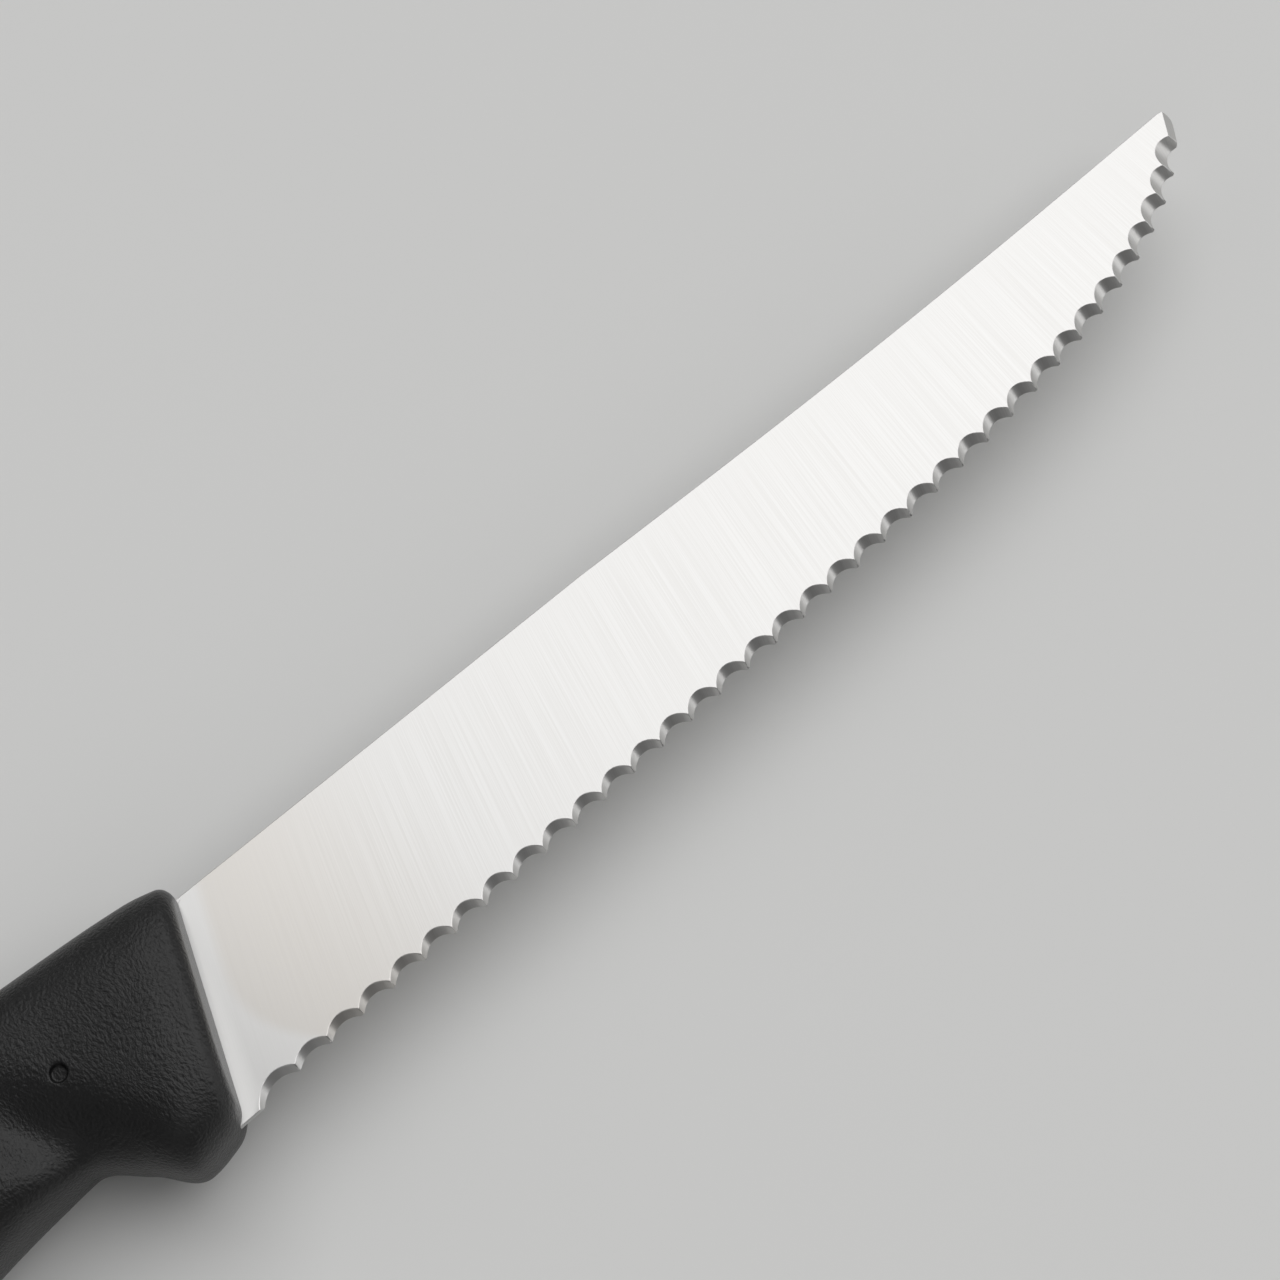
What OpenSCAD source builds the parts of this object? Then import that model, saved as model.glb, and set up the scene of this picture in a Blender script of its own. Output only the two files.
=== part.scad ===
// Steak knife with a scalloped blade and a handle moulded round its tang.
// The knife lies on its flank: X runs towards the point, Y towards the spine, and Z up
// through the face that the scallops are ground from.

/* [Blade] */
// Length of the spine in front of the handle
blade_l = 121.4; // [95:0.1:150]
// Depth of the blade at the first tooth, from the spine to the line of teeth
heel_depth = 18.8; // [17:0.1:24]
// How far the plain heel stands proud of the line of teeth
heel_proud = 0.5; // [0.2:0.1:0.8]
// Depth of the blade at the last tooth, where the point is cut off
point_depth = 3.4; // [3:0.1:6]
// How far the last tooth lies behind the point
point_back = 2.2; // [1:0.1:4]
// Thickness of the steel at the spine
stock_t = 1.6; // [1.2:0.1:2.2]
// Thickness that the grind leaves along the edge at the heel
edge_t = 0.65; // [0.5:0.05:1]
// Depth of the shallow hollow in the front half of the spine
spine_hollow = 0.6; // [0.1:0.1:1.5]
// Where that hollow starts, from the front of the handle
hollow_start = 46; // [30:1:70]
// Radius of the corner between the spine and the point
point_corner_r = 1; // [0.4:0.1:1.4]
// Width of the bevel across the point
point_bevel_w = 1; // [0.3:0.1:1.1]

/* [Edge line] */
// Angle of the edge to the spine at the heel, in degrees
edge_rise = 1.7; // [0:0.1:4]
// Steady turn of the edge along its whole length, in degrees
edge_turn = 4.2; // [0:0.1:8]
// Turn that the belly adds towards the point, in degrees
belly_turn = 43.6; // [15:0.1:50]
// How late the belly starts: a higher power is a later belly
belly_power = 8; // [5:0.5:12]

/* [Scallops] */
// Distance from tooth to tooth
tooth_pitch = 3.5; // [2.8:0.1:5]
// Width of the first scallop, at the heel
heel_scallop_w = 3.9; // [3:0.1:6]
// Length of plain edge between the handle and the first scallop
heel_land = 2.15; // [1.5:0.05:4]
// Radius of each scallop
scallop_r = 2.4; // [2.2:0.1:4]
// How far each scallop cuts behind the line of the teeth, on the far face
scallop_cut = 0.8; // [0.4:0.05:1]
// Radius of the first scallop, which is flatter
heel_r = 3.3; // [2.2:0.1:4]
// Cut of the first scallop, which is shallower
heel_cut = 0.55; // [0.4:0.05:1]
// Angle of the ground scallop to the blade's face, in degrees
scallop_angle = 45; // [35:1:60]

/* [Grind] */
// Where the full grind starts, in front of the handle
runout_start = 0.5; // [0.3:0.1:4]
// Slope at which the grind runs out inside the handle, in degrees
runout_slope = 4; // [2:0.5:8]

/* [Tang] */
// Length of plastic behind the end of the tang
tang_cover = 22; // [15:1:40]
// Height of the tang at its front
tang_h = 10; // [7:0.5:11]
// Height of the tang at its end
tang_end_h = 8; // [6:0.5:9]
// How far the tang lies below the spine
tang_drop = 2; // [1:0.1:3]
// How far the heel goes on into the handle
heel_in = 2; // [1.5:0.1:3]
// Diameter of the holes that the plastic runs through
tang_hole_d = 4.5; // [3:0.5:5]
// Radius of the tang's corners and of its fillets at the heel
tang_corner_r = 1; // [0.5:0.1:1.4]

/* [Handle] */
// Length of the handle along the spine line
handle_l = 118; // [105:1:130]
// Height of the handle's back above the spine line, at the belly
handle_rise = 4.6; // [3:0.1:7]
// How far the finger guard reaches below the heel
guard_over = 1.2; // [0.7:0.1:4]
// Plastic below the tang at the neck, behind the guard
neck_cover = 2.6; // [2:0.1:5]
// How far the belly swells below the neck
belly_swell = 4.4; // [1:0.1:8]
// How far the hook at the butt reaches below the neck
butt_drop = 7.9; // [2:0.1:12]
// Thickness of the handle at the guard
guard_t = 14.8; // [12:0.2:18]
// Thickness of the handle at the neck
neck_t = 13.8; // [11:0.2:16]
// Thickness of the handle at the belly
belly_t = 16.8; // [14:0.2:20]
// Thickness of the handle at the butt
butt_t = 15; // [12:0.2:18]
// Slant of the front of the handle, in degrees
front_slant = 21; // [5:0.5:30]
// Rounding along the front of the handle
front_r = 1.5; // [0.5:0.1:2]
// Rounding of the butt
butt_r = 6; // [3:0.5:7.5]

/* [Finger hollow and pin mark] */
// Depth of the finger hollow in each flank
hollow_depth = 1.8; // [0.5:0.1:2.5]
// Length of that hollow, across the neck
hollow_l = 18; // [10:1:26]
// Width of that hollow, along the handle
hollow_w = 8; // [5:0.5:12]
// Diameter of the mark that the mould's pin leaves in each flank
pin_mark_d = 1.8; // [1:0.1:3]
// Depth of the pin mark
pin_mark_depth = 0.6; // [0.3:0.1:1.2]
// How far the pin mark lies behind the front of the handle, at the spine
pin_mark_back = 16.6; // [13:0.1:30]
// How far the pin mark lies below the spine line
pin_mark_down = 7.2; // [5:0.1:10]

/* [Hidden] */

// One overrun serves every cut
overrun = 5;
fine = 96;

function unit(v) = v / norm(v);
function total(list) = [for (item = list) 1] * list;

// The points of a corner rounded to radius r, between the points before and after it
corner_steps = 6;
function round_corner(before, at, after, r) =
    let (
        u = unit(before - at),
        w = unit(after - at),
        half = acos(u * w) / 2,
        centre = at + unit(u + w) * r / sin(half),
        from = at + u * r / tan(half) - centre,
        to = at + w * r / tan(half) - centre,
        start = atan2(from.y, from.x),
        sweep = (atan2(to.y, to.x) - start + 540) % 360 - 180
    )
    [for (i = [0 : corner_steps])
        let (a = start + sweep * i / corner_steps) centre + r * [cos(a), sin(a)]];

// An outline from corners given as [point, radius]; radius 0 keeps the point sharp
function rounded(corners) =
    let (n = len(corners))
    [for (i = [0 : n - 1])
        each corners[i][1] == 0 ? [corners[i][0]] :
            round_corner(corners[(i + n - 1) % n][0], corners[i][0],
                         corners[(i + 1) % n][0], corners[i][1])];

// A smooth line through [place, value] pairs that never swings past them
function slope_at(table, i) =
    let (n = len(table))
    i == 0 ? step_slope(table, 0) :
    i == n - 1 ? step_slope(table, n - 2) :
    let (a = step_slope(table, i - 1), b = step_slope(table, i))
    a * b <= 0 ? 0 : 2 * a * b / (a + b);
function step_slope(table, i) =
    (table[i + 1][1] - table[i][1]) / (table[i + 1][0] - table[i][0]);
function step_of(table, s, i = 0) =
    i >= len(table) - 2 || s < table[i + 1][0] ? i : step_of(table, s, i + 1);
function smooth(table, s) =
    let (
        i = step_of(table, s),
        gap = table[i + 1][0] - table[i][0],
        t = (s - table[i][0]) / gap
    )
    table[i][1] * (1 + 2 * t) * pow(1 - t, 2) + table[i + 1][1] * t * t * (3 - 2 * t)
    + gap * (slope_at(table, i) * t * pow(1 - t, 2) + slope_at(table, i + 1) * t * t * (t - 1));

// The line of the teeth. Its direction turns with t, which runs from 0 at the heel to 1 at
// the last tooth, and the curve is fitted between those two teeth.
heel_tooth = [heel_land - tan(front_slant) * heel_depth, -heel_depth];
last_tooth = [blade_l - point_back, -point_depth];
edge_steps = 40;
function edge_angle(t) = edge_rise + edge_turn * t + belly_turn * pow(t, belly_power);
function edge_run(t) =
    total([for (k = [0.5 : edge_steps - 0.5])
        let (a = edge_angle(t * k / edge_steps)) [cos(a), sin(a)]]) * t / edge_steps;
whole_run = edge_run(1);
function edge_point(t) =
    let (run = edge_run(t), reach = last_tooth - heel_tooth)
    heel_tooth + [reach.x * run.x / whole_run.x, reach.y * run.y / whole_run.y];

// The teeth stand at one pitch, after a wider scallop at the heel
edge_l = (last_tooth.x - heel_tooth.x) / whole_run.x;
scallops = 1 + round((edge_l - heel_scallop_w) / tooth_pitch);
first_share = heel_scallop_w / edge_l;
function tooth_t(i) = i == 0 ? 0 : first_share + (1 - first_share) * (i - 1) / (scallops - 1);
teeth = [for (i = [0 : scallops]) edge_point(tooth_t(i))];

// The stamped blank: spine, point, line of teeth, plain heel and tang
spine_steps = 24;
function spine_y(x) =
    x < hollow_start ? 0 : -spine_hollow * sin(180 * (x - hollow_start) / (blade_l - hollow_start));
function front_x(y) = y * tan(front_slant);
point_corner = [blade_l, 0];
tang_l = handle_l - tang_cover;
tang_low = -tang_drop - tang_h;
tang_taper = (tang_h - tang_end_h) / 2;
heel_low = -heel_depth - heel_proud - (heel_land + heel_in) * tan(edge_rise);
heel_end = heel_tooth + heel_proud * [1, -1];
function heel_wall(y) = [front_x(y) - heel_in, y];
blank_outline = rounded(concat(
    [for (i = [0 : spine_steps - 1])
        let (x = hollow_start + (blade_l - hollow_start) * i / spine_steps) [[x, spine_y(x)], 0]],
    [[point_corner, point_corner_r]],
    [for (i = [scallops : -1 : 1]) [teeth[i], 0]],
    [[heel_end, 0],
     [heel_wall(heel_low), tang_corner_r],
     [heel_wall(tang_low), tang_corner_r],
     [[-tang_l, tang_low + tang_taper], tang_corner_r],
     [[-tang_l, -tang_drop - tang_taper], tang_corner_r],
     [heel_wall(-tang_drop), tang_corner_r / 2],
     [heel_wall(0), tang_corner_r / 2]]));
tang_hole_shares = [0.3, 0.72];

module blank() {
    linear_extrude(stock_t, center = true) polygon(blank_outline);
}

module tang_holes() {
    for (share = tang_hole_shares)
        translate([-tang_l * share, -tang_drop - tang_h / 2, 0])
            cylinder(d = tang_hole_d, h = stock_t + overrun, center = true, $fn = fine);
}

// Thickness that the grind leaves at y, and the metal above one ground face
grind_angle = atan((stock_t - edge_t) / 2 / heel_depth);
function ground_t(y) = stock_t + 2 * y * tan(grind_angle);
module above_grind() {
    translate([runout_start, 0, stock_t / 2]) rotate([grind_angle, 0, 0])
        rotate([0, 0, -front_slant]) {
            translate([0, -blade_l, 0]) cube([2 * blade_l, 2 * blade_l, overrun]);
            rotate([0, runout_slope, 0])
                translate([-2 * blade_l, -blade_l, 0]) cube([2 * blade_l, 2 * blade_l, overrun]);
        }
}

// The blank with both faces ground and the holes punched
module ground_blank() {
    difference() {
        blank();
        above_grind();
        mirror([0, 0, 1]) above_grind();
        tang_holes();
    }
}

// Scallop i is a round cut that runs down through the ground face at an angle and leaves
// the far face between two teeth. The first few change from flat to round.
flat_scallops = 5;
module scallop(i) {
    a = teeth[i];
    b = teeth[i + 1];
    t = min(1, i / flat_scallops);
    share = t * t * (3 - 2 * t);
    size = norm(b - a) / tooth_pitch;
    cut = size * (heel_cut + (scallop_cut - heel_cut) * share);
    r = size * (heel_r + (scallop_r - heel_r) * share);
    middle = (a + b) / 2;
    reach = (stock_t + r) / sin(scallop_angle) + overrun;
    translate([middle.x, middle.y, -ground_t(middle.y) / 2])
        rotate([0, 0, atan2(b.y - a.y, b.x - a.x)])
            translate([0, cut, 0]) rotate([scallop_angle - 90, 0, 0])
                translate([0, -r, 0]) cylinder(r = r, h = 2 * reach, center = true, $fn = fine);
}

// The bevel that is ground across the point, on the same face as the scallops
module point_bevel() {
    cut = point_corner - last_tooth;
    translate([last_tooth.x, last_tooth.y, stock_t / 2]) rotate([0, 0, atan2(cut.y, cut.x)])
        translate([-overrun, point_bevel_w, 0]) rotate([scallop_angle, 0, 0])
            translate([0, -overrun, 0]) cube([norm(cut) + 2 * overrun, 2 * overrun, overrun]);
}

module blade() {
    color("gainsboro") place() difference() {
        ground_blank();
        for (i = [0 : scallops - 1]) scallop(i);
        point_bevel();
    }
}

// The handle is a loft of rounded sections. s is the place along it, from 0 at the front
// to handle_l at the butt, and each line below is given at a few of those places.
neck_depth = neck_cover - tang_low;
guard_depth = guard_over - heel_low;
guard_at = 0.039 * handle_l;
neck_at = 0.125 * handle_l;
belly_at = 0.44 * handle_l;
waist_at = 0.78 * handle_l;
butt_at = 0.94 * handle_l;
back_line = [
    [0, 0.2 * handle_rise], [guard_at, 0.42 * handle_rise], [neck_at, 0.6 * handle_rise],
    [belly_at, handle_rise], [waist_at, 0.6 * handle_rise], [butt_at, 0],
    [handle_l, -0.45 * handle_rise]];
under_line = [
    [0, -0.95 * guard_depth], [guard_at, -guard_depth],
    [(guard_at + neck_at) / 2, -0.45 * guard_depth - 0.55 * neck_depth],
    [neck_at, -neck_depth], [belly_at, -neck_depth - belly_swell],
    [waist_at, -neck_depth - 0.7 * belly_swell], [butt_at, -neck_depth - butt_drop],
    [handle_l, -neck_depth - 0.85 * butt_drop]];
half_t_line = [
    [0, 0.47 * guard_t], [guard_at, guard_t / 2], [neck_at, neck_t / 2],
    [belly_at, belly_t / 2], [waist_at, 0.96 * butt_t / 2], [butt_at, butt_t / 2],
    [handle_l, 0.94 * butt_t / 2]];
squareness = 2.6;

// How much of the section is lost to the rounding at the two ends
function front_loss(s) = s < front_r ? 1 - sqrt(1 - pow(1 - s / front_r, 2)) : 0;
butt_closing = 0.9;
function butt_loss(s) =
    let (q = max(0, s - handle_l + butt_r) / butt_r) 1 - sqrt(1 - butt_closing * q * q);
function middle_y(s) = (smooth(back_line, s) + smooth(under_line, s)) / 2;
function half_h(s) =
    (smooth(back_line, s) - smooth(under_line, s)) / 2 - front_r * front_loss(s)
    - butt_r * butt_loss(s);
function half_t(s) =
    (smooth(half_t_line, s) - front_r * front_loss(s)) * (1 - butt_loss(s));
// The sections lean with the front of the handle and stand upright at the butt
function lean(s) =
    let (t = s / handle_l) tan(front_slant) * (1 - t * t * (3 - 2 * t));

// The finger hollow runs up the flank behind the guard, and is deepest at its middle
hollow_lean = 128;
hollow_middle = [-0.155 * handle_l, -0.85 * neck_depth];
function hollow_share(x, y) =
    let (
        off = [x, y] - hollow_middle,
        along = off * [cos(hollow_lean), sin(hollow_lean)] / (hollow_l / 2),
        across = off * [-sin(hollow_lean), cos(hollow_lean)] / (hollow_w / 2)
    )
    exp(-along * along - across * across);

function bent(value) = sign(value) * pow(abs(value), 2 / squareness);
function skin_point(s, a) =
    let (
        y = middle_y(s) + half_h(s) * bent(cos(a)),
        x = lean(s) * y - s,
        thin = 1 - hollow_depth / half_t(s) * hollow_share(x, y)
    )
    [x, y, half_t(s) * bent(sin(a)) * thin];

ring_points = 48;
front_rings = 5;
guard_rings = 22;
body_rings = 30;
butt_rings = 7;
body_at = 1.3 * neck_at;
ring_places = concat(
    [for (i = [0 : front_rings - 1]) front_r * (1 - cos(90 * i / front_rings))],
    [for (i = [0 : guard_rings - 1]) front_r + (body_at - front_r) * i / guard_rings],
    [for (i = [0 : body_rings]) body_at + (handle_l - butt_r - body_at) * i / body_rings],
    [for (i = [1 : butt_rings]) handle_l - butt_r + butt_r * sin(90 * i / butt_rings)]);
skin = [for (s = ring_places)
    [for (j = [0 : ring_points - 1]) skin_point(s, 360 * j / ring_points)]];

module handle_skin() {
    last = len(skin) - 1;
    polyhedron(
        points = [for (ring = skin) each ring],
        faces = concat(
            [[for (j = [0 : ring_points - 1]) ring_points - 1 - j]],
            [for (i = [0 : last - 1], j = [0 : ring_points - 1])
                let (a = i * ring_points, b = a + ring_points, k = (j + 1) % ring_points)
                each [[a + j, a + k, b + k], [a + j, b + k, b + j]]],
            [[for (j = [0 : ring_points - 1]) last * ring_points + j]]));
}

// Height of the flank over a point of the knife's side view
function flank_z(x, y) =
    let (
        s = lean(-x) * y - x,
        off = abs(y - middle_y(s)) / half_h(s)
    )
    half_t(s) * pow(1 - pow(off, squareness), 1 / squareness)
    - hollow_depth * hollow_share(x, y);

module pin_marks() {
    x = -pin_mark_back;
    y = -pin_mark_down;
    floor_z = flank_z(x, y) - pin_mark_depth;
    for (side = [0, 1]) mirror([0, 0, side])
        translate([x, y, floor_z]) cylinder(d = pin_mark_d, h = overrun, $fn = fine);
}

module handle() {
    color("dimgray") place() difference() {
        handle_skin();
        ground_blank();
        pin_marks();
    }
}

// The origin is under the middle of the whole knife, as it lies on its flank
skin_y = [for (ring = skin, point = ring) point.y];
skin_z = [for (ring = skin, point = ring) point.z];
blank_x = [for (point = blank_outline) point.x];
module place() {
    translate([(handle_l - max(blank_x)) / 2, -(max(skin_y) + min(skin_y)) / 2, max(skin_z)])
        children();
}

blade();
handle();
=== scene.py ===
# Steak knife on a pale floor: ground steel blade, moulded black handle
import math

import bpy
import numpy as np
from mathutils import Matrix, Vector


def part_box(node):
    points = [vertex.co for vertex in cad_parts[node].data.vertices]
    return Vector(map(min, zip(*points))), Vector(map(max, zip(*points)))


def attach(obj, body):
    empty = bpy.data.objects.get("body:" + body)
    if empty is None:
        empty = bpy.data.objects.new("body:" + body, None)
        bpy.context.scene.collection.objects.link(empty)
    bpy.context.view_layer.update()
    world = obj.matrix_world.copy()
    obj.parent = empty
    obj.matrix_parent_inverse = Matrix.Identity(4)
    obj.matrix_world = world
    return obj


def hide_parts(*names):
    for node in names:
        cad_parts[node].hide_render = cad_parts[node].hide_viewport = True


mm = 0.001

print("Loading the packed knife")
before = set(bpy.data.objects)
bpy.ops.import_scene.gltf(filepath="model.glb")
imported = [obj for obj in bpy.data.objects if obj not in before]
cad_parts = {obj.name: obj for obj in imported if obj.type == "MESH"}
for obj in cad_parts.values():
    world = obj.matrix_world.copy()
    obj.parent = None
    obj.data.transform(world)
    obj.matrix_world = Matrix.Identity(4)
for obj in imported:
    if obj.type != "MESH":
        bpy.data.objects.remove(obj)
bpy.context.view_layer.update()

handleLow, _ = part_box("handle")
bladeLow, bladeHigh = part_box("blade")

handle = {
    "length": 118,  # along the spine line, mm
    "guardAt": 0.039,  # shares of the length, from the front
    "neckAt": 0.125,
    "bellyAt": 0.44,
    "waistAt": 0.78,
    "buttAt": 0.94,
    "rise": 4.6,  # back above the spine line, at the belly
    "guardDepth": 20.6,  # guard and neck below the spine line
    "neckDepth": 14.6,
    "bellySwell": 4.4,  # belly and butt below the neck
    "buttDrop": 7.9,
    "guardThick": 14.8,
    "neckThick": 13.8,
    "bellyThick": 16.8,
    "buttThick": 15,
    "slant": math.tan(math.radians(21)),  # lean of the front
    "frontRound": 1.5,
    "buttRound": 6,
    "buttClosing": 0.975,  # 1 closes the butt to a point
    "squareness": 2.6,  # 2 is an ellipse, more is boxier
    "squarenessFront": 3.2,
    "boxyUpTo": 30,
    "plainFrom": 70,
    "hollowDepth": 1.8,  # finger hollow in each flank
    "hollowLong": 18,
    "hollowWide": 6,
    "hollowBack": 0.168,  # share of the length
    "hollowDown": 0.85,  # share of the neck's depth
    "hollowLean": math.radians(121),
    "endRings": 12,  # at each rounded end
    "fineUpTo": 40,  # closer rings as far as here
    "fineStep": 0.25,
    "coarseStep": 0.8,
    "pinStep": 0.1,  # closest at the pin mark
}

pinMark = {
    "back": 16.6,  # behind the front, at the spine
    "down": 7.6,
    "width": 1.5,
    "depth": 0.5,
    "soft": 0.3,  # width of its rounded rim
    "ringAt": 14,  # ring of the handle that runs through it
    "ringsAround": 1.5,  # reach of the closest rings on either side
}

# Where the spine meets the front of the handle, in the middle of the steel
knifeOrigin = Vector((handleLow.x + handle["length"] * mm, bladeHigh.y,
                      (bladeLow.z + bladeHigh.z) / 2))


# A smooth line through (place, value) pairs that never swings past them
def smoothLine(pairs, s):
    at = np.array([p[0] for p in pairs], float)
    value = np.array([p[1] for p in pairs], float)
    step = np.diff(value) / np.diff(at)
    slope = np.zeros(len(at))
    slope[0], slope[-1] = step[0], step[-1]
    for i in range(1, len(at) - 1):
        if step[i - 1] * step[i] > 0:
            slope[i] = 2 * step[i - 1] * step[i] / (step[i - 1] + step[i])
    i = np.clip(np.searchsorted(at, s, side="right") - 1, 0, len(at) - 2)
    gap = at[i + 1] - at[i]
    t = (s - at[i]) / gap
    return (value[i] * (1 + 2 * t) * (1 - t) ** 2 + value[i + 1] * t * t * (3 - 2 * t)
            + gap * (slope[i] * t * (1 - t) ** 2 + slope[i + 1] * t * t * (t - 1)))


# Even steps from one place up to the next, which is left out
def evenly(start, end, step):
    return np.linspace(start, end, max(1, round((end - start) / step)), endpoint=False)


def handleSkin():
    h = handle
    length, rise = h["length"], h["rise"]
    guardAt, neckAt, bellyAt = h["guardAt"] * length, h["neckAt"] * length, h["bellyAt"] * length
    waistAt, buttAt = h["waistAt"] * length, h["buttAt"] * length
    guard, neck, swell, drop = h["guardDepth"], h["neckDepth"], h["bellySwell"], h["buttDrop"]
    backLine = [(0, 0.2 * rise), (guardAt, 0.42 * rise), (neckAt, 0.6 * rise), (bellyAt, rise),
                (waistAt, 0.6 * rise), (buttAt, 0), (length, -0.45 * rise)]
    underLine = [(0, -0.95 * guard), (guardAt, -guard),
                 ((guardAt + neckAt) / 2, -0.45 * guard - 0.55 * neck), (neckAt, -neck),
                 (bellyAt, -neck - swell), (waistAt, -neck - 0.7 * swell),
                 (buttAt, -neck - drop), (length, -neck - 0.85 * drop)]
    thickLine = [(0, 0.94 * h["guardThick"]), (guardAt, h["guardThick"]),
                 (neckAt, h["neckThick"]), (bellyAt, h["bellyThick"]),
                 (waistAt, 0.96 * h["buttThick"]), (buttAt, h["buttThick"]),
                 (length, 0.94 * h["buttThick"])]

    # ring places: round at both ends, fine in front, finest at the pin mark
    quarter = np.linspace(0, math.pi / 2, h["endRings"] + 1)
    front = h["frontRound"] * (1 - np.cos(quarter))
    pinFrom = pinMark["ringAt"] - pinMark["ringsAround"]
    pinTo = pinMark["ringAt"] + pinMark["ringsAround"]
    places = [(h["frontRound"], pinFrom, h["fineStep"]), (pinFrom, pinTo, h["pinStep"]),
              (pinTo, h["fineUpTo"], h["fineStep"]),
              (h["fineUpTo"], length - h["buttRound"], h["coarseStep"])]
    butt = length - h["buttRound"] + h["buttRound"] * np.sin(quarter)
    s = np.concatenate([front[:-1]] + [evenly(*place) for place in places] + [butt])[:, None]
    # degrees round a ring, in closer steps across the pin mark of each flank
    turns = [(0, 88, 1.8), (88, 100, 0.3), (100, 260, 1.8), (260, 272, 0.3), (272, 360, 1.8)]
    a = np.radians(np.concatenate([evenly(*turn) for turn in turns]))[None, :]

    frontLoss = 1 - np.sqrt(1 - np.clip(1 - s / h["frontRound"], 0, 1) ** 2)
    q = np.clip(s - length + h["buttRound"], 0, None) / h["buttRound"]
    buttLoss = 1 - np.sqrt(1 - h["buttClosing"] * q * q)
    back, under = smoothLine(backLine, s), smoothLine(underLine, s)
    halfHigh = (back - under) / 2 - h["frontRound"] * frontLoss - h["buttRound"] * buttLoss
    halfThick = (smoothLine(thickLine, s) / 2 - h["frontRound"] * frontLoss) * (1 - buttLoss)

    t = np.clip((s - h["boxyUpTo"]) / (h["plainFrom"] - h["boxyUpTo"]), 0, 1)
    square = h["squarenessFront"] + (h["squareness"] - h["squarenessFront"]) * t * t * (3 - 2 * t)

    def bent(value):
        return np.sign(value) * np.abs(value) ** (2 / square)

    y = (back + under) / 2 + halfHigh * bent(np.cos(a))
    t = s / length
    x = h["slant"] * (1 - t * t * (3 - 2 * t)) * y - s
    offX, offY = x + h["hollowBack"] * length, y + h["hollowDown"] * neck
    along = (offX * math.cos(h["hollowLean"]) + offY * math.sin(h["hollowLean"])) / h["hollowLong"] * 2
    across = (offY * math.cos(h["hollowLean"]) - offX * math.sin(h["hollowLean"])) / h["hollowWide"] * 2
    thin = 1 - h["hollowDepth"] / halfThick * np.exp(-along ** 2 - across ** 2)
    z = halfThick * bent(np.sin(a)) * thin

    # the mould pin's round dimple, on both flanks
    p = pinMark
    reach = np.hypot(x + p["back"], y + p["down"])
    share = np.clip((p["width"] / 2 - reach) / p["soft"] + 0.5, 0, 1)
    z = z - np.sign(z) * p["depth"] * share * share * (3 - 2 * share)
    return np.stack([x, y, z], axis=2)


def makeHandle(finish):
    skin = handleSkin()
    rings, around = skin.shape[:2]
    points = skin.reshape(-1, 3) * mm + np.array(knifeOrigin)
    faces = [tuple(range(around - 1, -1, -1)), tuple((rings - 1) * around + j for j in range(around))]
    for i in range(rings - 1):
        for j in range(around):
            k = (j + 1) % around
            faces.append((i * around + j, i * around + k, (i + 1) * around + k, (i + 1) * around + j))
    mesh = bpy.data.meshes.new("mouldedHandle")
    mesh.from_pydata(points.tolist(), [], faces)
    mesh.polygons.foreach_set("use_smooth", [len(f) == 4 for f in faces])
    mesh.materials.append(finish)
    obj = bpy.data.objects.new("mouldedHandle", mesh)
    bpy.context.collection.objects.link(obj)
    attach(obj, "root")
    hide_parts("handle")


def newMaterial(name):
    mat = bpy.data.materials.new(name)
    mat.use_nodes = True
    return mat, mat.node_tree.nodes, mat.node_tree.links, mat.node_tree.nodes["Principled BSDF"]


plastic = {
    "color": (0.005, 0.005, 0.0052, 1),
    "roughness": 0.36,
    "shine": 0.42,
    "wrinkle": 0.28,  # width of one wrinkle of the moulding grain, mm
    "stretch": 1.3,  # its length over its width
    "detail": 4,
    "swirlSize": 6,
    "swirl": 2.4,  # how far the wrinkles are turned about, mm
    "grainDepth": 0.12,
}


def handlePlastic():
    mat, nodes, links, shader = newMaterial("handlePlastic")
    shader.inputs["Base Color"].default_value = plastic["color"]
    shader.inputs["Roughness"].default_value = plastic["roughness"]
    shader.inputs["Specular IOR Level"].default_value = plastic["shine"]
    place = nodes.new("ShaderNodeTexCoord")
    swirl = nodes.new("ShaderNodeTexNoise")
    swirl.inputs["Scale"].default_value = 1 / (plastic["swirlSize"] * mm)
    swirl.inputs["Detail"].default_value = 1
    links.new(place.outputs["Object"], swirl.inputs["Vector"])
    carried = nodes.new("ShaderNodeVectorMath")
    carried.operation = "MULTIPLY_ADD"
    carried.inputs[1].default_value = [plastic["swirl"] * mm] * 3
    links.new(swirl.outputs["Color"], carried.inputs[0])
    links.new(place.outputs["Object"], carried.inputs[2])
    stretched = nodes.new("ShaderNodeMapping")
    stretched.inputs["Scale"].default_value = (1, 1 / plastic["stretch"], 1 / plastic["stretch"])
    links.new(carried.outputs["Vector"], stretched.inputs["Vector"])
    grain = nodes.new("ShaderNodeTexNoise")
    grain.inputs["Scale"].default_value = 1 / (plastic["wrinkle"] * mm)
    grain.inputs["Detail"].default_value = plastic["detail"]
    links.new(stretched.outputs["Vector"], grain.inputs["Vector"])
    bump = nodes.new("ShaderNodeBump")
    bump.inputs["Distance"].default_value = plastic["grainDepth"] * mm
    links.new(grain.outputs["Fac"], bump.inputs["Height"])
    links.new(bump.outputs["Normal"], shader.inputs["Normal"])
    return mat


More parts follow.
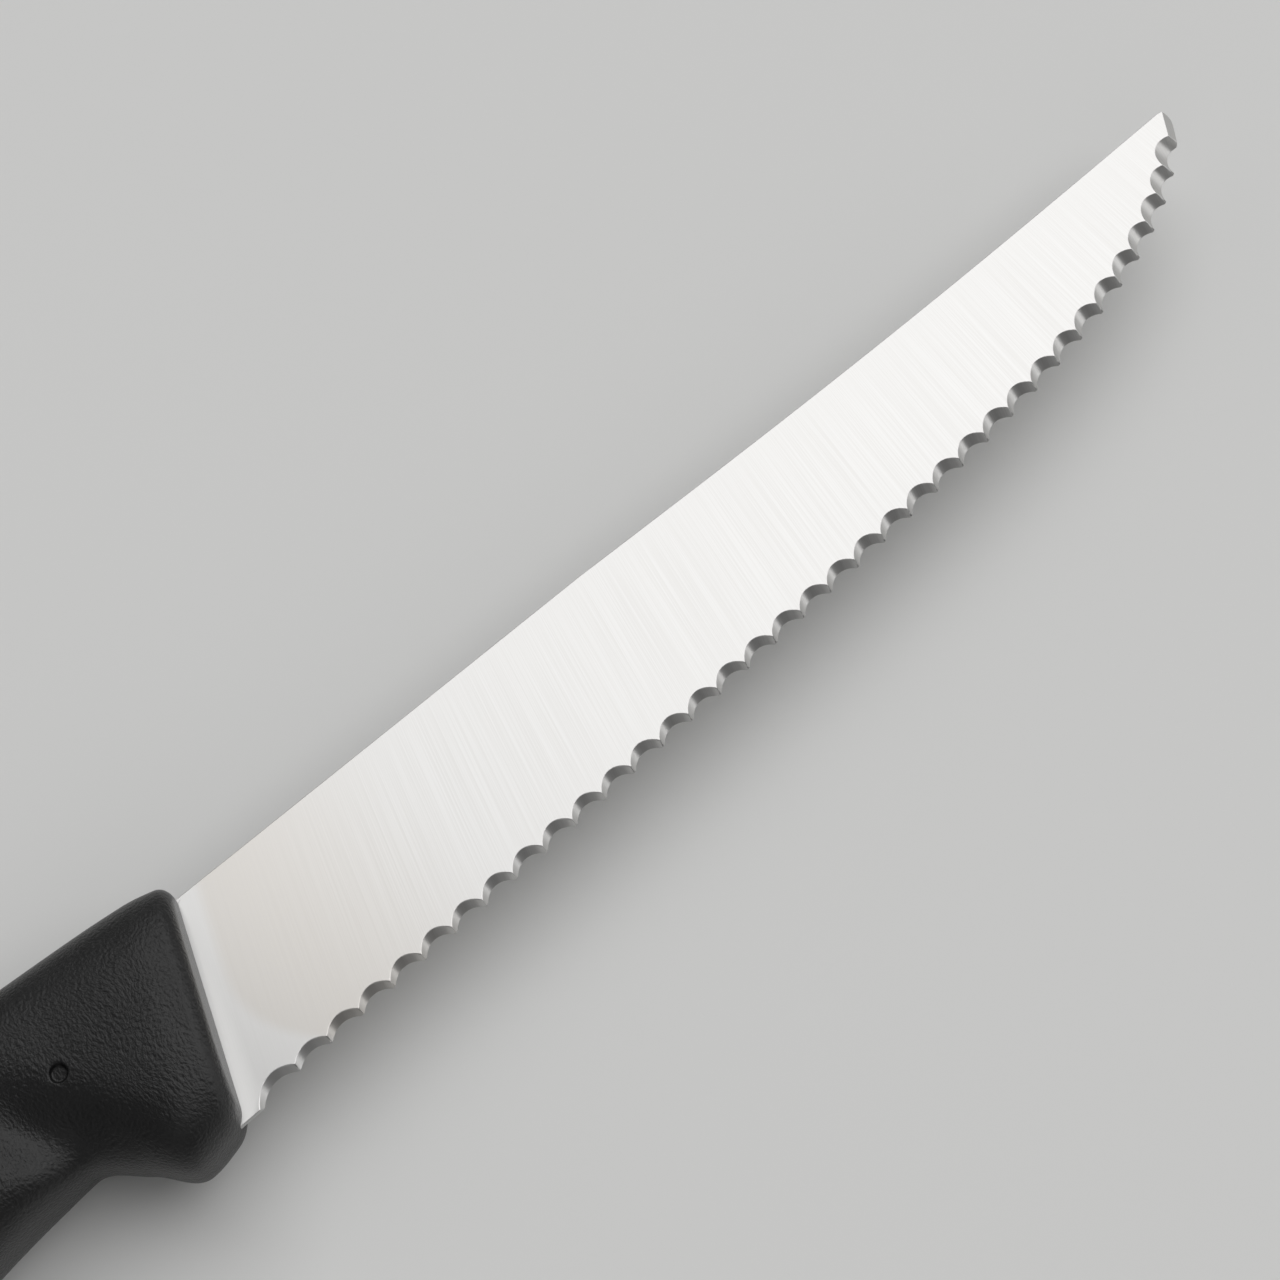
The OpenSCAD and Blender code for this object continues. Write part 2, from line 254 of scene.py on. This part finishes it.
steel = {
    "light": (0.60, 0.596, 0.588, 1),  # between the grinding lines
    "dark": (0.556, 0.549, 0.538, 1),  # in the grinding lines
    "paintedShade": (0.94, 0.915, 0.885, 1),  # tint of the painted shade at the heel, where the grind runs out
    "roughness": 0.30,
    "lineWide": 0.095,  # one grinding line, mm
    "lineLong": 18,
    "lineNoise": (0.3, 0.7),  # the nearer together, the harder the lines
    "linesFrom": 4,  # the lines are faint up to here
    "linesFull": 22,
    "faint": 0.25,
    "leanAtHandle": 0.384,  # the lines lean with the handle's front there
    "fan": 0.0037,  # and open out by this much per mm
    "unshadedStrip": 2,  # strip along the handle left clear of the painted shade
    "unshadedStripFade": (-0.6, 1),
    "unshadedStripDown": 8,  # below this depth the strip widens towards the edge
    "unshadedStripWiden": 0.068,
    "paintedShadeFrom": 4,  # where the painted shade at the heel starts to fade
    "paintedShadeLong": 24,
    "edgeRound": 0.07,
    "edgeAngle": math.radians(28),  # least angle of an edge that is rounded
    "weldUnder": 0.002,
}


def bladeSteel():
    mat, nodes, links, shader = newMaterial("bladeSteel")
    shader.inputs["Metallic"].default_value = 1
    shader.inputs["Roughness"].default_value = steel["roughness"]
    place = nodes.new("ShaderNodeTexCoord")
    fromOrigin = nodes.new("ShaderNodeVectorMath")
    fromOrigin.operation = "SUBTRACT"
    fromOrigin.inputs[1].default_value = knifeOrigin
    links.new(place.outputs["Object"], fromOrigin.inputs[0])
    toMm = nodes.new("ShaderNodeVectorMath")
    toMm.operation = "SCALE"
    toMm.inputs["Scale"].default_value = 1 / mm
    links.new(fromOrigin.outputs["Vector"], toMm.inputs[0])
    split = nodes.new("ShaderNodeSeparateXYZ")
    links.new(toMm.outputs["Vector"], split.inputs[0])
    x, y, z = split.outputs

    def reckon(op, a, b=None, c=None):
        node = nodes.new("ShaderNodeMath")
        node.operation = op
        for socket, value in zip(node.inputs, (a, b, c)):
            if isinstance(value, (int, float)):
                socket.default_value = value
            elif value is not None:
                links.new(value, socket)
        return node.outputs[0]

    def ramp(value, start, end, low, high):
        node = nodes.new("ShaderNodeMapRange")
        node.interpolation_type = "SMOOTHSTEP"
        for socket, number in zip(list(node.inputs)[1:5], (start, end, low, high)):
            socket.default_value = number
        links.new(value, node.inputs["Value"])
        return node.outputs["Result"]

    def blend(share, one, two, how="MIX"):
        node = nodes.new("ShaderNodeMix")
        node.data_type = "RGBA"
        node.blend_type = how
        links.new(share, node.inputs["Factor"])
        for socket, colour in ((node.inputs["A"], one), (node.inputs["B"], two)):
            if isinstance(colour, tuple):
                socket.default_value = colour
            else:
                links.new(colour, socket)
        return node.outputs["Result"]

    # which grinding line a point lies on: (x - lean y) / (1 - fan y)
    ahead = reckon("MULTIPLY_ADD", y, -steel["leanAtHandle"], x)
    line = reckon("DIVIDE", ahead, reckon("MULTIPLY_ADD", y, -steel["fan"], 1.0))
    joined = nodes.new("ShaderNodeCombineXYZ")
    links.new(reckon("DIVIDE", line, steel["lineWide"]), joined.inputs["X"])
    links.new(reckon("DIVIDE", y, steel["lineLong"]), joined.inputs["Y"])
    links.new(reckon("DIVIDE", z, steel["lineLong"]), joined.inputs["Z"])
    scratch = nodes.new("ShaderNodeTexNoise")
    scratch.inputs["Scale"].default_value = 1
    scratch.inputs["Detail"].default_value = 2
    links.new(joined.outputs["Vector"], scratch.inputs["Vector"])

    # the lines set in a little way out from the handle
    cut = reckon("MULTIPLY", ramp(scratch.outputs["Fac"], *steel["lineNoise"], 0, 1),
                 ramp(line, steel["linesFrom"], steel["linesFull"], steel["faint"], 1))
    ground = blend(cut, steel["light"], steel["dark"])
    # painted shade: a darker warm patch beyond a clear strip along the handle, which widens towards the
    # edge
    low = reckon("MAXIMUM", reckon("SUBTRACT", -steel["unshadedStripDown"], y), 0)
    behind = reckon("MULTIPLY_ADD", reckon("MULTIPLY", low, low), -steel["unshadedStripWiden"], ahead)
    starts, ends = steel["unshadedStripFade"]
    paintedShade = reckon("MULTIPLY", ramp(behind, steel["unshadedStrip"] + starts, steel["unshadedStrip"] + ends, 0, 1),
                  ramp(x, steel["paintedShadeFrom"], steel["paintedShadeLong"], 1, 0))
    links.new(blend(paintedShade, ground, steel["paintedShade"], "MULTIPLY"), shader.inputs["Base Color"])
    return mat


def dressBlade(finish):
    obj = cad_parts["blade"]
    obj.data.materials.clear()
    obj.data.materials.append(finish)
    if "custom_normal" in obj.data.attributes:
        obj.data.attributes.remove(obj.data.attributes["custom_normal"])
    obj.data.shade_smooth()
    weld = obj.modifiers.new("weld", "WELD")
    weld.merge_threshold = steel["weldUnder"] * mm
    bevel = obj.modifiers.new("soft edges", "BEVEL")
    bevel.width = steel["edgeRound"] * mm
    bevel.segments = 2
    bevel.limit_method = "ANGLE"
    bevel.angle_limit = steel["edgeAngle"]
    bevel.use_clamp_overlap = False
    bevel.harden_normals = True


floor = {
    "size": 60,  # m
    "color": (0.8, 0.8, 0.79, 1),
    "roughness": 0.8,
}


def makeFloor():
    mat, nodes, links, shader = newMaterial("paleFloor")
    shader.inputs["Base Color"].default_value = floor["color"]
    shader.inputs["Roughness"].default_value = floor["roughness"]
    half = floor["size"] / 2
    mesh = bpy.data.meshes.new("floor")
    mesh.from_pydata([(-half, -half, 0), (half, -half, 0), (half, half, 0), (-half, half, 0)], [],
                     [(0, 1, 2, 3)])
    mesh.materials.append(mat)
    obj = bpy.data.objects.new("floor", mesh)
    bpy.context.collection.objects.link(obj)


lights = {
    # name: direction from the knife, distance, width and height in m, brightness
    "overhead": ((0.485, 0.16, 0.86), 8, 14.6, 8, 1.55),
    "edge side": ((0.86, -0.48, 0.24), 8, 7, 3.8, 1.1),
    "far side": ((-0.55, -0.60, 0.65), 8, 6.6, 5.8, 0.3),
    "back side": ((-0.60, 0.60, 0.52), 8, 6.6, 5, 0.34),
}
worldBrightness = 0.15


def makeLights():
    for name, (towards, distance, wide, high, bright) in lights.items():
        data = bpy.data.lights.new(name, "AREA")
        data.shape = "RECTANGLE"
        data.size, data.size_y = wide, high
        data.energy = bright * math.pi * wide * high  # watts that give this brightness
        obj = bpy.data.objects.new(name, data)
        bpy.context.collection.objects.link(obj)
        obj.location = Vector(towards).normalized() * distance
        obj.rotation_euler = Vector(towards).to_track_quat("Z", "Y").to_euler()
    world = bpy.data.worlds.new("studio")
    bpy.context.scene.world = world
    world.use_nodes = True
    sky = world.node_tree.nodes["Background"]
    sky.inputs["Color"].default_value = (1, 1, 1, 1)
    sky.inputs["Strength"].default_value = worldBrightness


view = {
    # mm from the knife's origin
    "position": (-7.22, -81.0, 222.87),
    "forward": (0.2223, 0.3030, -0.9267),
    "up": (0.6155, 0.6935, 0.3744),
    "lens": 75,
    "sensor": 36,
    "nearest": 0.01,  # m
}


def makeCamera():
    data = bpy.data.cameras.new("camera")
    data.lens = view["lens"]
    data.sensor_width = view["sensor"]
    data.clip_start = view["nearest"]
    obj = bpy.data.objects.new("camera", data)
    bpy.context.collection.objects.link(obj)
    forward = Vector(view["forward"]).normalized()
    right = forward.cross(Vector(view["up"])).normalized()
    turn = Matrix((right, right.cross(forward), -forward)).transposed()
    obj.matrix_world = Matrix.Translation(knifeOrigin + Vector(view["position"]) * mm) @ turn.to_4x4()
    bpy.context.scene.camera = obj


print("Handle")
makeHandle(handlePlastic())
print("Blade")
dressBlade(bladeSteel())
print("Floor, light and camera")
makeFloor()
makeLights()
makeCamera()
bpy.context.scene.view_settings.view_transform = "Standard"

print("Done")
